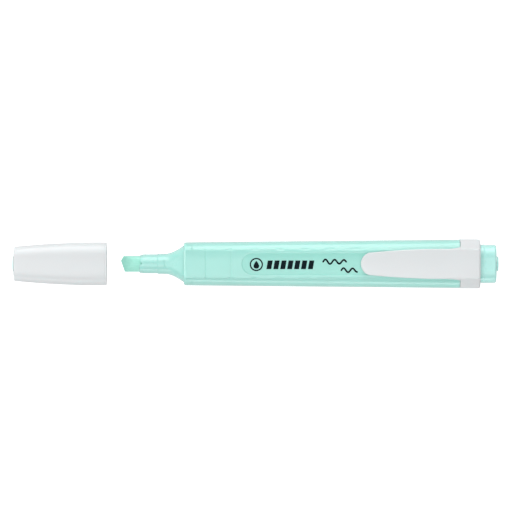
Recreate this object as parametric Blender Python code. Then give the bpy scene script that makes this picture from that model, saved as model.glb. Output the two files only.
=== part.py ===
"""Chisel-tip highlighter, lying on its back with its cap drawn off the nib.

Stations along the pen are measured from the barrel's shoulder, where the cap's mouth stops. +X runs
towards the tail, +Y across the pen and +Z up through the clip. The pen's axis is each part's own X axis,
and one empty lifts it until the flat back lies on Z = 0 and the whole object is centred in X.
"""

import math

import bmesh
import bpy
from mathutils import Matrix, Vector

MM = 0.001

# Body section: a superellipse whose front and back are cut flat
BODY_POWER = 3.0
BODY_FLAT = 5.5 * MM  # axis to the flat front, and to the flat back
BODY_CROWN = 0.6 * MM  # how far the uncut superellipse would stand above the flat

# Barrel
BARREL_LENGTH = 91.0 * MM  # shoulder to clip band
BARREL_HALF_WIDTH = 7.13 * MM  # at the shoulder
BARREL_TAPER = 0.0097  # half-width gained per length
BARREL_WALL = 1.1 * MM
MOUTH_CHAMFER = 0.3 * MM
SECTION_SEAT = 7.3 * MM  # depth of the counterbore that holds the front section
SPIGOT_LENGTH = 5.3 * MM  # reduced rear end, under the clip band
SPIGOT_INSET = 0.8 * MM
EDGE_GROOVE = 0.22 * MM  # line along both edges of the flat faces
EDGE_GROOVE_START = 3.0 * MM
DIMPLE_START = 7.1 * MM  # grip dimples in both edge lines, each longer than the last
DIMPLE_PITCH = 8.2 * MM
DIMPLE_COUNT = 7
DIMPLE_LENGTH = 0.7 * MM
DIMPLE_LENGTH_STEP = 0.68 * MM
DIMPLE_DEPTH = 0.5 * MM
SCORE_COUNT = 2  # the first dimples are also joined by a fine groove across the front
SCORE_WIDTH = 0.35 * MM
SCORE_DEPTH = 0.15 * MM
SCORE_HALF_LENGTH = 3.9 * MM
LABEL_START = 19.1 * MM  # shallow recess that holds the print and clears the clip
LABEL_END = 88.5 * MM
LABEL_HALF_WIDTH = 3.6 * MM
LABEL_DEPTH = 0.35 * MM
RIB_START = 10.0 * MM  # ribs that carry the reservoir
RIB_END = 82.0 * MM
RIB_THICKNESS = 0.8 * MM

# Front section: collar, neck and the flare that meets the shoulder
COLLAR_FRONT = -14.7 * MM
COLLAR_REAR = -8.6 * MM
COLLAR_RADIUS = 3.15 * MM
COLLAR_CHAMFER = 1.1 * MM
LIP_RADIUS = 2.95 * MM
NECK_RADIUS = 3.34 * MM
NECK_REAR = -6.0 * MM
FLARE_POWER = 1.6
FLARE_STEPS = 6
SHOULDER_HALF_WIDTH = 6.13 * MM
SHOULDER_FLAT = 4.55 * MM
SECTION_REAR = 7.0 * MM
SOCKET_FRONT = 1.2 * MM  # socket for the reservoir's front end
VENT_WIDTH = 0.7 * MM
VENT_DEPTH = 0.45 * MM

# Nib: a rod with a flat top and bottom, cut to a chisel
NIB_HALF_WIDTH = 2.62 * MM
NIB_FLAT = 2.0 * MM
NIB_CROWN = 0.2 * MM
NIB_POWER = 2.6
NIB_TIP = -20.8 * MM
NIB_REAR = 12.0 * MM
NIB_POINT_Y = 1.05 * MM  # where the long and the short writing edges meet
LONG_EDGE_ANGLE = math.radians(20.0)  # from square across the pen
SHORT_EDGE_ANGLE = math.radians(-30.0)
NIB_LAND = 0.5 * MM  # half the chisel's thickness at its edge
NIB_BEVEL = 3.6 * MM  # length of each sloped face

# Ink reservoir: a fibre core in a plastic film
CORE_HALF_WIDTH = 5.05 * MM
CORE_HALF_DEPTH = 3.55 * MM
CORE_POWER = 2.4
CORE_FRONT = 2.0 * MM
CORE_REAR = 84.2 * MM
FILM_GAP = 0.08 * MM
FILM_WALL = 0.17 * MM

# End plug: a skirt inside the barrel and a tail on which the cap can be posted
TAIL_HALF_WIDTH = 6.34 * MM
TAIL_FLAT = 4.72 * MM
TAIL_FRONT = 96.6 * MM
TAIL_REAR = 103.2 * MM
TAIL_ROUND = 0.7 * MM
SKIRT_FRONT = 84.6 * MM
SKIRT_HALF_WIDTH = 6.25 * MM
SKIRT_FLAT = 3.75 * MM
PLUG_WALL = 0.9 * MM
BEAD_STATION = 98.9 * MM
BEAD_WIDTH = 0.9 * MM
BEAD_HEIGHT = 0.14 * MM
DISC_RADIUS = 2.45 * MM
DISC_HEIGHT = 0.6 * MM

# Clip: a band on the barrel's rear end, and a springy arm
BAND_FRONT = 91.15 * MM
BAND_REAR = 97.8 * MM
BAND_HALF_WIDTH = 8.13 * MM
BAND_ROUND = 0.75 * MM
BAND_LIP = 1.3 * MM  # rear wall, round the tail
PLATFORM_TOP = 7.7 * MM
PLATFORM_HALF_WIDTH = 5.4 * MM
PLATFORM_FOOT = 3.4 * MM  # height at which its slopes reach the band's sides
ARM_TIP = 58.3 * MM
ARM_ROOT = 90.85 * MM
ARM_TIP_TOP = 7.0 * MM
ARM_TIP_WALL = 1.2 * MM
ARM_ROOT_WALL = 1.35 * MM
ARM_TIP_HALF_WIDTH = 3.75 * MM
ARM_NOSE = 3.5 * MM  # length of the rounded tip
ARM_SPREAD = 1.2 * MM  # half-width gained over ARM_SPREAD_LENGTH
ARM_SPREAD_LENGTH = 24.0 * MM
ARM_FOOT_LENGTH = 4.9 * MM
ARM_FOOT_SPREAD = 0.5 * MM
ARM_CROWN = 0.25 * MM
GRIP_BUMP_STATION = 62.6 * MM
GRIP_BUMP_RADII = Vector((1.8, 1.6, 0.75)) * MM
FLEXURE = Vector((91.0 * MM, 0.0, 7.0 * MM))

# Cap: a shell, and an insert that seals round the neck
CAP_MOUTH = -25.5 * MM  # where the mouth stands with the cap drawn off
CAP_LENGTH = 30.6 * MM
CAP_CURVE_LENGTH = 28.0 * MM
CAP_HALF_WIDTH = 7.09 * MM
CAP_WIDTH_LOSS = 1.45 * MM  # from the widest place to the closed end
CAP_DEPTH_LOSS = 0.95 * MM
CAP_CROWN = 0.2 * MM
CAP_MOUTH_WALL = 0.68 * MM
CAP_WALL = 0.8 * MM
CAP_END_WALL = 1.3 * MM
CAP_END_ROUND = 0.35 * MM
LAND_HALF_WIDTH = 4.0 * MM
LAND_HALF_DEPTH = 3.1 * MM
LAND_HEIGHT = 0.2 * MM
CAP_DISC_HEIGHT = 0.25 * MM
INSERT_MOUTH = 6.5 * MM  # measured from the cap's mouth, as are the next two
INSERT_FLOOR = 23.0 * MM
INSERT_SHOULDER = 24.2 * MM
INSERT_BORE = 3.47 * MM
INSERT_RADIUS = 4.0 * MM
POST_GAP = 0.1 * MM
FIN_REACH = 5.5 * MM
FIN_THICKNESS = 0.8 * MM
FIN_FROM = 9.0 * MM
FIN_TO = 22.0 * MM

FIT_GAP = 0.1 * MM  # between pieces pressed together

OBJECT_FRONT = CAP_MOUTH - CAP_LENGTH - LAND_HEIGHT - CAP_DISC_HEIGHT
OBJECT_REAR = TAIL_REAR + DISC_HEIGHT
ROOT = Vector((-(OBJECT_FRONT + OBJECT_REAR) / 2, 0.0, BODY_FLAT))

SHARP_ANGLE = math.radians(22.0)

# Points round each ring: the sides, the flats, and the creases between them
SIDE_STEPS = 10
FLAT_STEPS = 6
CREASE_STEP = 0.045  # radians between the crease and each of its two guard points
ROUND_EDGE = math.radians(50.0)  # where a section with no flat keeps its crease points


class Outline:
    """A section across the pen: the radius at each angle from +Y, and the angles of its creases."""

    def __init__(self, radius_at, top_edge=ROUND_EDGE, bottom_edge=ROUND_EDGE):
        self.radius_at = radius_at
        self.top_edge = top_edge
        self.bottom_edge = bottom_edge


def superellipse(half_width, half_depth, power=2.0, flat=None, edge=None):
    """A superellipse, cut flat above and below where flat is less than half_depth."""
    cut = half_depth if flat is None else flat

    def radius_at(angle):
        across = abs(math.cos(angle)) / half_width
        up = abs(math.sin(angle))
        whole = (across**power + (up / half_depth) ** power) ** (-1 / power)
        return min(whole, cut / up) if up > 1e-9 else whole

    if edge is None and cut < half_depth:
        half_flat = half_width * (1 - (cut / half_depth) ** power) ** (1 / power)
        edge = math.atan2(cut, half_flat)
    edge = ROUND_EDGE if edge is None else edge
    return Outline(radius_at, edge, edge)


def body_outline(half_width, inset=0.0, flat=BODY_FLAT):
    """The pen's own section, made smaller all round by inset."""
    cut = flat - inset
    return superellipse(half_width - inset, cut + BODY_CROWN, BODY_POWER, cut)


def circle(radius):
    return superellipse(radius, radius)


def ring(station, outline, groove=0.0):
    """The outline's points at a station, anticlockwise seen from +X. groove pulls in each crease's outer neighbour."""
    sides = []
    for bottom, top, turn in (
        (-outline.bottom_edge, outline.top_edge, 1),
        (math.pi + outline.bottom_edge, math.pi - outline.top_edge, -1),
    ):
        low, high = bottom + turn * 2 * CREASE_STEP, top - turn * 2 * CREASE_STEP
        between = [low + (high - low) * i / SIDE_STEPS for i in range(SIDE_STEPS + 1)]
        grooved = [bottom + turn * CREASE_STEP, top - turn * CREASE_STEP]
        sides.append(
            [(bottom, 0), (grooved[0], groove)]
            + [(angle, 0) for angle in between]
            + [(grooved[1], groove), (top, 0)]
        )
    right, left = sides[0], sides[1][::-1]

    def flat_between(first, last):
        span = (last - first) % (2 * math.pi)
        return [(first + span * i / FLAT_STEPS, 0) for i in range(1, FLAT_STEPS)]

    around = right + flat_between(right[-1][0], left[0][0]) + left + flat_between(left[-1][0], right[0][0])
    points = []
    for angle, depth in around:
        reach = outline.radius_at(angle) - depth
        points.append(Vector((station, reach * math.cos(angle), reach * math.sin(angle))))
    return points


def loft(name, rings, through=False):
    """A solid skinned over rings of equal count. through joins the last ring to the first, as for a tube."""
    mesh = bmesh.new()
    loops = [[mesh.verts.new(point) for point in points] for points in rings]
    pairs = list(zip(loops, loops[1:]))
    if through:
        pairs.append((loops[-1], loops[0]))
    else:
        mesh.faces.new(loops[0][::-1])
        mesh.faces.new(loops[-1])
    for first, second in pairs:
        for i, corner in enumerate(first):
            j = (i + 1) % len(first)
            mesh.faces.new((corner, first[j], second[j], second[i]))
    return add_object(name, mesh)


def add_object(name, mesh):
    data = bpy.data.meshes.new(name)
    mesh.to_mesh(data)
    mesh.free()
    data.shade_smooth()
    data.set_sharp_from_angle(angle=SHARP_ANGLE)
    made = bpy.data.objects.new(name, data)
    bpy.context.scene.collection.objects.link(made)
    return made


def box(name, low, high):
    """A block between two corners."""
    mesh = bmesh.new()
    bmesh.ops.create_cube(mesh, size=1.0)
    size, centre = high - low, (high + low) / 2
    bmesh.ops.transform(mesh, matrix=Matrix.Translation(centre) @ Matrix.Diagonal(size.to_4d()), verts=mesh.verts)
    return add_object(name, mesh)


def helper(tool, target, operation):
    """Uses tool in a Boolean on target, and keeps it out of the model."""
    modifier = target.modifiers.new(tool.name, "BOOLEAN")
    modifier.operation = operation
    modifier.solver = "EXACT"
    modifier.object = tool
    tool.hide_render = True
    tool.display_type = "WIRE"


def set_material(made, finish, colour, roughness):
    """Gives the part its own plain, non-metallic material."""
    material = bpy.data.materials.new(f"{made.name}_{finish}")
    material.use_nodes = True
    shader = material.node_tree.nodes["Principled BSDF"]
    shader.inputs["Base Color"].default_value = (*colour, 1.0)
    shader.inputs["Roughness"].default_value = roughness
    shader.inputs["Metallic"].default_value = 0.0
    made.data.materials.append(material)


def barrel_half_width(station):
    return BARREL_HALF_WIDTH + BARREL_TAPER * station


def slot_prism(name, start, end, half_width, low, high):
    """A tall slot with round ends, between two heights."""
    mesh = bmesh.new()
    steps = 10
    outline = []
    for centre, turn in ((end - half_width, -math.pi / 2), (start + half_width, math.pi / 2)):
        for i in range(steps + 1):
            angle = turn + math.pi * i / steps
            outline.append((centre + half_width * math.cos(angle), half_width * math.sin(angle)))
    face = mesh.faces.new([mesh.verts.new((x, y, low)) for x, y in outline])
    face.normal_flip()
    raised = bmesh.ops.extrude_face_region(mesh, geom=[face])
    top = [item for item in raised["geom"] if isinstance(item, bmesh.types.BMVert)]
    bmesh.ops.translate(mesh, verts=top, vec=(0, 0, high - low))
    bmesh.ops.recalc_face_normals(mesh, faces=mesh.faces)
    return add_object(name, mesh)


def make_barrel():
    """The ink-coloured outer tube, open at both ends."""
    rear = BARREL_LENGTH + SPIGOT_LENGTH
    outer = [(0.0, MOUTH_CHAMFER, 0.0), (MOUTH_CHAMFER, 0.0, 0.0)]
    outer += [(EDGE_GROOVE_START - 0.5 * MM, 0.0, 0.0), (EDGE_GROOVE_START, 0.0, EDGE_GROOVE)]
    for i in range(DIMPLE_COUNT):
        centre = DIMPLE_START + i * DIMPLE_PITCH
        half = (DIMPLE_LENGTH + i * DIMPLE_LENGTH_STEP) / 2
        outer += [(centre - half, 0.0, EDGE_GROOVE), (centre, 0.0, DIMPLE_DEPTH)]
        outer += [(centre + half, 0.0, EDGE_GROOVE)]
    outer += [(BARREL_LENGTH, 0.0, EDGE_GROOVE)]
    outer += [(BARREL_LENGTH, SPIGOT_INSET, 0.0), (rear, SPIGOT_INSET, 0.0)]
    rings = [ring(at, body_outline(barrel_half_width(at), inset), groove) for at, inset, groove in outer]
    spigot_bore = body_outline(TAIL_HALF_WIDTH + 0.06 * MM, 0.0, SKIRT_FLAT + 0.15 * MM)
    rings += [ring(rear, spigot_bore), ring(BARREL_LENGTH - 1.0 * MM, spigot_bore)]
    for at in (BARREL_LENGTH - 2.0 * MM, SECTION_SEAT):
        rings.append(ring(at, body_outline(barrel_half_width(at), BARREL_WALL)))
    seat = body_outline(SHOULDER_HALF_WIDTH + FIT_GAP, 0.0, SHOULDER_FLAT + FIT_GAP)
    rings += [ring(SECTION_SEAT, seat), ring(0.0, seat)]
    barrel = loft("barrel", rings, through=True)
    label = slot_prism(
        "label_cutter", LABEL_START, LABEL_END, LABEL_HALF_WIDTH, BODY_FLAT - LABEL_DEPTH, BODY_FLAT + 1.0 * MM
    )
    helper(label, barrel, "DIFFERENCE")
    for i in range(SCORE_COUNT):
        middle = Vector((DIMPLE_START + i * DIMPLE_PITCH, 0.0, BODY_FLAT))
        reach = Vector((SCORE_WIDTH / 2, SCORE_HALF_LENGTH, SCORE_DEPTH))
        helper(box(f"score_cutter_{i + 1}", middle - reach, middle + reach), barrel, "DIFFERENCE")
    add_reservoir_ribs(barrel)
    return barrel


def add_reservoir_ribs(barrel):
    """Four ribs inside the barrel, which stop just short of the reservoir's film."""
    film_half_width = CORE_HALF_WIDTH + FILM_GAP + FILM_WALL
    film_half_depth = CORE_HALF_DEPTH + FILM_GAP + FILM_WALL
    wall_bite = 0.15 * MM
    half = RIB_THICKNESS / 2
    side = (film_half_width + FIT_GAP, barrel_half_width(RIB_END) - BARREL_WALL + wall_bite)
    face = (film_half_depth + FIT_GAP, BODY_FLAT - BARREL_WALL + wall_bite)
    for sign in (1, -1):
        for name, low, high in (
            ("side_rib", (sign * side[0], -half), (sign * side[1], half)),
            ("face_rib", (-half, sign * face[0]), (half, sign * face[1])),
        ):
            corners = sorted((low[0], high[0])), sorted((low[1], high[1]))
            rib = box(
                f"{name}_{'plus' if sign > 0 else 'minus'}",
                Vector((RIB_START, corners[0][0], corners[1][0])),
                Vector((RIB_END, corners[0][1], corners[1][1])),
            )
            helper(rib, barrel, "UNION")


def nib_outline(gap=0.0):
    flat = NIB_FLAT + gap
    return superellipse(NIB_HALF_WIDTH + gap, flat + NIB_CROWN, NIB_POWER, flat)


def flare_outline(station):
    """From the round neck to the flattened shoulder."""
    share = ((station - NECK_REAR) / -NECK_REAR) ** FLARE_POWER
    half_width = NECK_RADIUS + (SHOULDER_HALF_WIDTH - NECK_RADIUS) * share
    flat = NECK_RADIUS + (SHOULDER_FLAT - NECK_RADIUS) * share
    power = 2 + (BODY_POWER - 2) * share
    shoulder_edge = body_outline(SHOULDER_HALF_WIDTH, 0.0, SHOULDER_FLAT).top_edge
    return superellipse(half_width, flat + BODY_CROWN * share, power, flat, shoulder_edge)


def make_front_section():
    """Collar, neck, flare and the spigot that plugs into the barrel, in one moulding."""
    rings = [
        ring(COLLAR_FRONT, circle(LIP_RADIUS)),
        ring(COLLAR_FRONT + COLLAR_CHAMFER, circle(COLLAR_RADIUS)),
        ring(COLLAR_REAR, circle(COLLAR_RADIUS)),
        ring(COLLAR_REAR + (NECK_RADIUS - COLLAR_RADIUS), circle(NECK_RADIUS)),
    ]
    for i in range(FLARE_STEPS + 1):
        at = NECK_REAR * (1 - i / FLARE_STEPS)
        rings.append(ring(at, flare_outline(at)))
    rings.append(ring(SECTION_REAR, flare_outline(0.0)))
    film = CORE_HALF_WIDTH + FILM_GAP + FILM_WALL
    socket = superellipse(film + FIT_GAP, CORE_HALF_DEPTH + FILM_GAP + FILM_WALL + FIT_GAP, CORE_POWER)
    rings += [ring(SECTION_REAR, socket), ring(SOCKET_FRONT, socket)]
    rings += [ring(SOCKET_FRONT, nib_outline(FIT_GAP)), ring(COLLAR_FRONT, nib_outline(FIT_GAP))]
    section = loft("front_section", rings, through=True)
    half = VENT_WIDTH / 2
    vent = box(
        "vent_cutter",
        Vector((COLLAR_FRONT - VENT_DEPTH, -half, -1.5 * COLLAR_RADIUS)),
        Vector((COLLAR_FRONT + VENT_DEPTH, half, 1.5 * COLLAR_RADIUS)),
    )
    helper(vent, section, "DIFFERENCE")
    return section


def make_nib():
    """A fibre rod: two writing edges in plan, and a wedge in side view."""
    taper = 1.5 * MM
    mesh_rings = [
        ring(NIB_TIP - 1.0 * MM, nib_outline()),
        ring(NIB_REAR - taper, nib_outline()),
        ring(NIB_REAR, nib_outline(-0.6 * MM)),
    ]
    nib = loft("nib", mesh_rings)
    point = Vector((NIB_TIP, NIB_POINT_Y, 0.0))
    bevel_angle = math.atan2(NIB_FLAT - NIB_LAND, NIB_BEVEL)
    cuts = [
        (point, Vector((-math.cos(LONG_EDGE_ANGLE), -math.sin(LONG_EDGE_ANGLE), 0.0))),
        (point, Vector((-math.cos(SHORT_EDGE_ANGLE), -math.sin(SHORT_EDGE_ANGLE), 0.0))),
    ]
    for side in (1, -1):
        edge = Vector((NIB_TIP, 0.0, side * NIB_LAND))
        cuts.append((edge, Vector((-math.sin(bevel_angle), 0.0, side * math.cos(bevel_angle)))))
    mesh = bmesh.new()
    mesh.from_mesh(nib.data)
    for place, outward in cuts:
        whole = mesh.verts[:] + mesh.edges[:] + mesh.faces[:]
        cut = bmesh.ops.bisect_plane(
            mesh, geom=whole, dist=1e-7, plane_co=place, plane_no=outward, clear_outer=True
        )
        rim = [item for item in cut["geom_cut"] if isinstance(item, bmesh.types.BMEdge)]
        bmesh.ops.contextual_create(mesh, geom=rim)
    bmesh.ops.recalc_face_normals(mesh, faces=mesh.faces)
    mesh.to_mesh(nib.data)
    mesh.free()
    nib.data.set_sharp_from_angle(angle=SHARP_ANGLE)
    return nib


def make_reservoir_core():
    """The ink-soaked fibre rod, with a pocket for the nib's rear end."""
    body = superellipse(CORE_HALF_WIDTH, CORE_HALF_DEPTH, CORE_POWER)
    pocket_floor = NIB_REAR + 0.3 * MM
    rings = [
        ring(pocket_floor, nib_outline(FIT_GAP)),
        ring(CORE_FRONT, nib_outline(FIT_GAP)),
        ring(CORE_FRONT, body),
        ring(CORE_REAR, body),
    ]
    return loft("reservoir_core", rings)


def make_reservoir_film():
    """The plastic film round the core, open at both ends."""
    end_gap = 0.3 * MM

    def film(growth):
        return superellipse(CORE_HALF_WIDTH + growth, CORE_HALF_DEPTH + growth, CORE_POWER)

    front, rear = CORE_FRONT + end_gap, CORE_REAR - end_gap
    outside, inside = film(FILM_GAP + FILM_WALL), film(FILM_GAP)
    rings = [ring(front, outside), ring(rear, outside), ring(rear, inside), ring(front, inside)]
    return loft("reservoir_film", rings, through=True)


def make_end_plug():
    """A hollow plug: its skirt goes into the barrel, and its tail shows behind the clip band."""

    def tail(inset=0.0):
        return body_outline(TAIL_HALF_WIDTH, inset, TAIL_FLAT)

    def skirt(inset=0.0):
        return body_outline(SKIRT_HALF_WIDTH, inset, SKIRT_FLAT)

    floor = TAIL_REAR - 1.4 * PLUG_WALL
    rings = [
        ring(floor, skirt(PLUG_WALL)),
        ring(SKIRT_FRONT, skirt(PLUG_WALL)),
        ring(SKIRT_FRONT, skirt()),
        ring(TAIL_FRONT, skirt()),
        ring(TAIL_FRONT, tail()),
        ring(BEAD_STATION - BEAD_WIDTH / 2, tail()),
        ring(BEAD_STATION, tail(-BEAD_HEIGHT)),
        ring(BEAD_STATION + BEAD_WIDTH / 2, tail()),
        ring(TAIL_REAR - TAIL_ROUND, tail()),
        ring(TAIL_REAR - 0.3 * TAIL_ROUND, tail(0.3 * TAIL_ROUND)),
        ring(TAIL_REAR, tail(TAIL_ROUND)),
        ring(TAIL_REAR, circle(DISC_RADIUS)),
        ring(TAIL_REAR + DISC_HEIGHT, circle(DISC_RADIUS)),
    ]
    return loft("end_plug", rings)


def band_outline(inset=0.0):
    """The band's outside: the pen's section below, and a platform with sloping sides above."""
    half_width = BAND_HALF_WIDTH - inset
    lower = body_outline(BAND_HALF_WIDTH, inset)
    foot = Vector((half_width, PLATFORM_FOOT))
    shoulder = Vector((PLATFORM_HALF_WIDTH - inset, PLATFORM_TOP - inset))
    slope = shoulder - foot
    outward = Vector((slope.y, -slope.x)).normalized()

    def radius_at(angle):
        across, up = abs(math.cos(angle)), math.sin(angle)
        if up <= 0:
            return lower.radius_at(angle)
        limits = [half_width / max(across, 1e-9), shoulder.y / up]
        limits.append(outward.dot(foot) / (outward.x * across + outward.y * up))
        return min(limits)

    return Outline(radius_at, math.atan2(shoulder.y, shoulder.x), lower.bottom_edge)


def make_clip_band():
    """The ring that slips over the barrel's rear end, with the clip's platform on it."""
    spigot = body_outline(barrel_half_width(BARREL_LENGTH + SPIGOT_LENGTH), SPIGOT_INSET - FIT_GAP)
    opening = body_outline(TAIL_HALF_WIDTH, -FIT_GAP, TAIL_FLAT)
    lip_front = BAND_REAR - BAND_LIP
    rings = [
        ring(BAND_FRONT, band_outline()),
        ring(BAND_REAR - BAND_ROUND, band_outline()),
        ring(BAND_REAR - 0.3 * BAND_ROUND, band_outline(0.3 * BAND_ROUND)),
        ring(BAND_REAR, band_outline(BAND_ROUND)),
        ring(BAND_REAR, opening),
        ring(lip_front, opening),
        ring(lip_front, spigot),
        ring(BAND_FRONT, spigot),
    ]
    return loft("clip_band", rings, through=True)


def arm_half_width(station):
    """The arm's plan: a round nose, a bowed taper and a foot that spreads into the band."""
    along = station - ARM_TIP
    if along < ARM_NOSE:
        return ARM_TIP_HALF_WIDTH * math.sqrt(1 - (1 - along / ARM_NOSE) ** 2)
    share = min((along - ARM_NOSE) / ARM_SPREAD_LENGTH, 1.0)
    foot = max(0.0, station - (ARM_ROOT - ARM_FOOT_LENGTH)) / ARM_FOOT_LENGTH
    return ARM_TIP_HALF_WIDTH + ARM_SPREAD * (1 - (1 - share) ** 2) + ARM_FOOT_SPREAD * foot**2


def make_clip_arm():
    """The springy arm, with a rounded bump under its tip."""
    nose = [ARM_TIP + ARM_NOSE * (1 - math.cos(math.radians(angle))) for angle in (8, 25, 40, 55, 70, 90)]
    steps = 8
    shank = [nose[-1] + (ARM_ROOT - nose[-1]) * i / steps for i in range(1, steps + 1)]
    rings = []
    for at in nose + shank:
        share = (at - ARM_TIP) / (ARM_ROOT - ARM_TIP)
        half = arm_half_width(at)
        top = ARM_TIP_TOP + (PLATFORM_TOP - ARM_TIP_TOP) * share
        bottom = top - (ARM_TIP_WALL + (ARM_ROOT_WALL - ARM_TIP_WALL) * share)
        over = [(half * (1 - i / 3), top - ARM_CROWN * (1 - i / 3) ** 2) for i in range(7)]
        under = [(-half, bottom), (0.0, bottom), (half, bottom)]
        rings.append([Vector((at, y, z)) for y, z in over + under])
    arm = loft("clip_arm", rings)
    mesh = bmesh.new()
    bmesh.ops.create_icosphere(mesh, subdivisions=2, radius=1.0)
    under_tip = Vector((GRIP_BUMP_STATION, 0.0, ARM_TIP_TOP - ARM_TIP_WALL + 0.2 * MM))
    shape = Matrix.Translation(under_tip) @ Matrix.Diagonal(GRIP_BUMP_RADII.to_4d())
    bmesh.ops.transform(mesh, matrix=shape, verts=mesh.verts)
    helper(add_object("clip_bump", mesh), arm, "UNION")
    return arm


def cap_outline(depth_in, inset=0.0):
    """The cap's section at a distance from its mouth."""
    from_end = min(CAP_LENGTH - depth_in, CAP_CURVE_LENGTH)
    bow = (1 - from_end / CAP_CURVE_LENGTH) ** 2
    half_width = CAP_HALF_WIDTH - CAP_WIDTH_LOSS * bow - inset
    flat = BODY_FLAT - CAP_DEPTH_LOSS * bow - inset
    return superellipse(half_width, flat + CAP_CROWN, BODY_POWER, flat)


def make_cap_shell():
    """The pale outer cap, open at the mouth, with a hole in its closed end for the insert's post."""
    steps = 7
    round_off = CAP_END_ROUND
    end = CAP_MOUTH - CAP_LENGTH
    rings = [ring(end, cap_outline(CAP_LENGTH, round_off))]
    for i in range(steps + 1):
        depth_in = (CAP_LENGTH - round_off) * (1 - i / steps) + MOUTH_CHAMFER * i / steps
        rings.append(ring(CAP_MOUTH - depth_in, cap_outline(depth_in)))
    rings.append(ring(CAP_MOUTH, cap_outline(0.0, 0.1 * MM)))
    rings.append(ring(CAP_MOUTH, cap_outline(0.0, CAP_MOUTH_WALL)))
    for depth_in, wall in ((10.0 * MM, CAP_MOUTH_WALL), (11.0 * MM, CAP_WALL), (20.0 * MM, CAP_WALL)):
        rings.append(ring(CAP_MOUTH - depth_in, cap_outline(depth_in, wall)))
    floor = CAP_LENGTH - CAP_END_WALL
    rings.append(ring(CAP_MOUTH - floor, cap_outline(floor, CAP_WALL)))
    hole = circle(DISC_RADIUS + POST_GAP)
    land = superellipse(LAND_HALF_WIDTH, LAND_HALF_DEPTH)
    rings += [ring(CAP_MOUTH - floor, hole), ring(end - LAND_HEIGHT, hole)]
    rings += [ring(end - LAND_HEIGHT, land), ring(end, land)]
    return loft("cap_shell", rings, through=True)


def make_cap_insert():
    """The inner cap: a bore that seals on the neck, and a post whose end shows as a coloured disc."""
    rings = [
        ring(OBJECT_FRONT, circle(DISC_RADIUS)),
        ring(CAP_MOUTH - INSERT_SHOULDER, circle(DISC_RADIUS)),
        ring(CAP_MOUTH - INSERT_SHOULDER, circle(INSERT_RADIUS)),
        ring(CAP_MOUTH - INSERT_MOUTH, circle(INSERT_RADIUS)),
        ring(CAP_MOUTH - INSERT_MOUTH, circle(INSERT_BORE + 0.15 * MM)),
        ring(CAP_MOUTH - INSERT_MOUTH - 0.6 * MM, circle(INSERT_BORE)),
        ring(CAP_MOUTH - INSERT_FLOOR, circle(INSERT_BORE)),
    ]
    insert = loft("cap_insert", rings)
    bite = 0.3 * MM
    half = FIN_THICKNESS / 2
    for name, near, far in (
        ("fin_plus", INSERT_RADIUS - bite, FIN_REACH),
        ("fin_minus", -FIN_REACH, bite - INSERT_RADIUS),
    ):
        low = Vector((CAP_MOUTH - FIN_TO, near, -half))
        high = Vector((CAP_MOUTH - FIN_FROM, far, half))
        helper(box(name, low, high), insert, "UNION")
    return insert


def move_origin(made, place):
    """Puts the object's origin at place, in the pen's frame, without moving its shape."""
    made.data.transform(Matrix.Translation(-place))
    made.location = place


def main():
    for old in list(bpy.data.objects):
        bpy.data.objects.remove(old, do_unlink=True)

    ink_plastic = ("turquoise_plastic", (0.40, 0.79, 0.70), 0.3)
    pale_plastic = ("pale_plastic", (0.80, 0.82, 0.82), 0.3)
    fibre = ("inked_fibre", (0.33, 0.79, 0.64), 0.9)
    film = ("clear_film", (0.86, 0.92, 0.90), 0.2)
    parts = (
        (make_barrel(), ink_plastic),
        (make_front_section(), ink_plastic),
        (make_nib(), fibre),
        (make_reservoir_core(), fibre),
        (make_reservoir_film(), film),
        (make_end_plug(), ink_plastic),
        (make_clip_band(), pale_plastic),
        (make_clip_arm(), pale_plastic),
        (make_cap_shell(), pale_plastic),
        (make_cap_insert(), ink_plastic),
    )
    for made, material in parts:
        set_material(made, *material)

    root = bpy.data.objects.new("pen_axis", None)
    root.location = ROOT
    bpy.context.scene.collection.objects.link(root)
    joint_places = {
        "clip_arm": FLEXURE,
        "cap_shell": Vector((CAP_MOUTH, 0.0, 0.0)),
        "cap_insert": Vector((CAP_MOUTH, 0.0, 0.0)),
    }
    for made in list(bpy.data.objects):
        if made.name in joint_places:
            move_origin(made, joint_places[made.name])
        if made is not root:
            made.parent = root


main()
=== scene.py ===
"""Looks for the chisel-tip highlighter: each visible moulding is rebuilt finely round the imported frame.

Shapes are worked out in millimetres as (s, y, z): s runs along the pen from the barrel's shoulder towards
the tail, and y and z are measured from the pen's axis. place() turns them into the frame's metres.
"""

import math

import bmesh
import bpy
import numpy as np
from mathutils import Matrix, Vector


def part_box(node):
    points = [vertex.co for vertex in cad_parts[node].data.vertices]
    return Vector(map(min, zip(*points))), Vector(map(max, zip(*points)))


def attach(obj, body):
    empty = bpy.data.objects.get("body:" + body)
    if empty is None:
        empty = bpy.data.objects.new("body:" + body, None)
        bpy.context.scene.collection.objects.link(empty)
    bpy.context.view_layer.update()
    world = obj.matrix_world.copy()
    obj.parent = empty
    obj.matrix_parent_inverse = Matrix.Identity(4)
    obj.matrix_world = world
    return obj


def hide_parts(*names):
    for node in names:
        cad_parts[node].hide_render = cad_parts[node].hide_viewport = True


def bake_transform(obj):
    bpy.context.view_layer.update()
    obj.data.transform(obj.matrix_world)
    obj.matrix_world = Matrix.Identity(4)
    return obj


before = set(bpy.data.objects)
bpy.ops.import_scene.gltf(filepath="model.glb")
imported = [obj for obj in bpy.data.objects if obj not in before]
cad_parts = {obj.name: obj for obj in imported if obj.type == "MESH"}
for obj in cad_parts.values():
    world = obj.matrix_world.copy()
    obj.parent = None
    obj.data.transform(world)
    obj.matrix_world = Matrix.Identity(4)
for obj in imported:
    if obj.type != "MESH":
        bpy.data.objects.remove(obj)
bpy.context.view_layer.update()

MM = 0.001
SHOULDER_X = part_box("barrel")[0].x
AXIS_Z = (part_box("barrel")[0].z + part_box("barrel")[1].z) / 2


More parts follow.
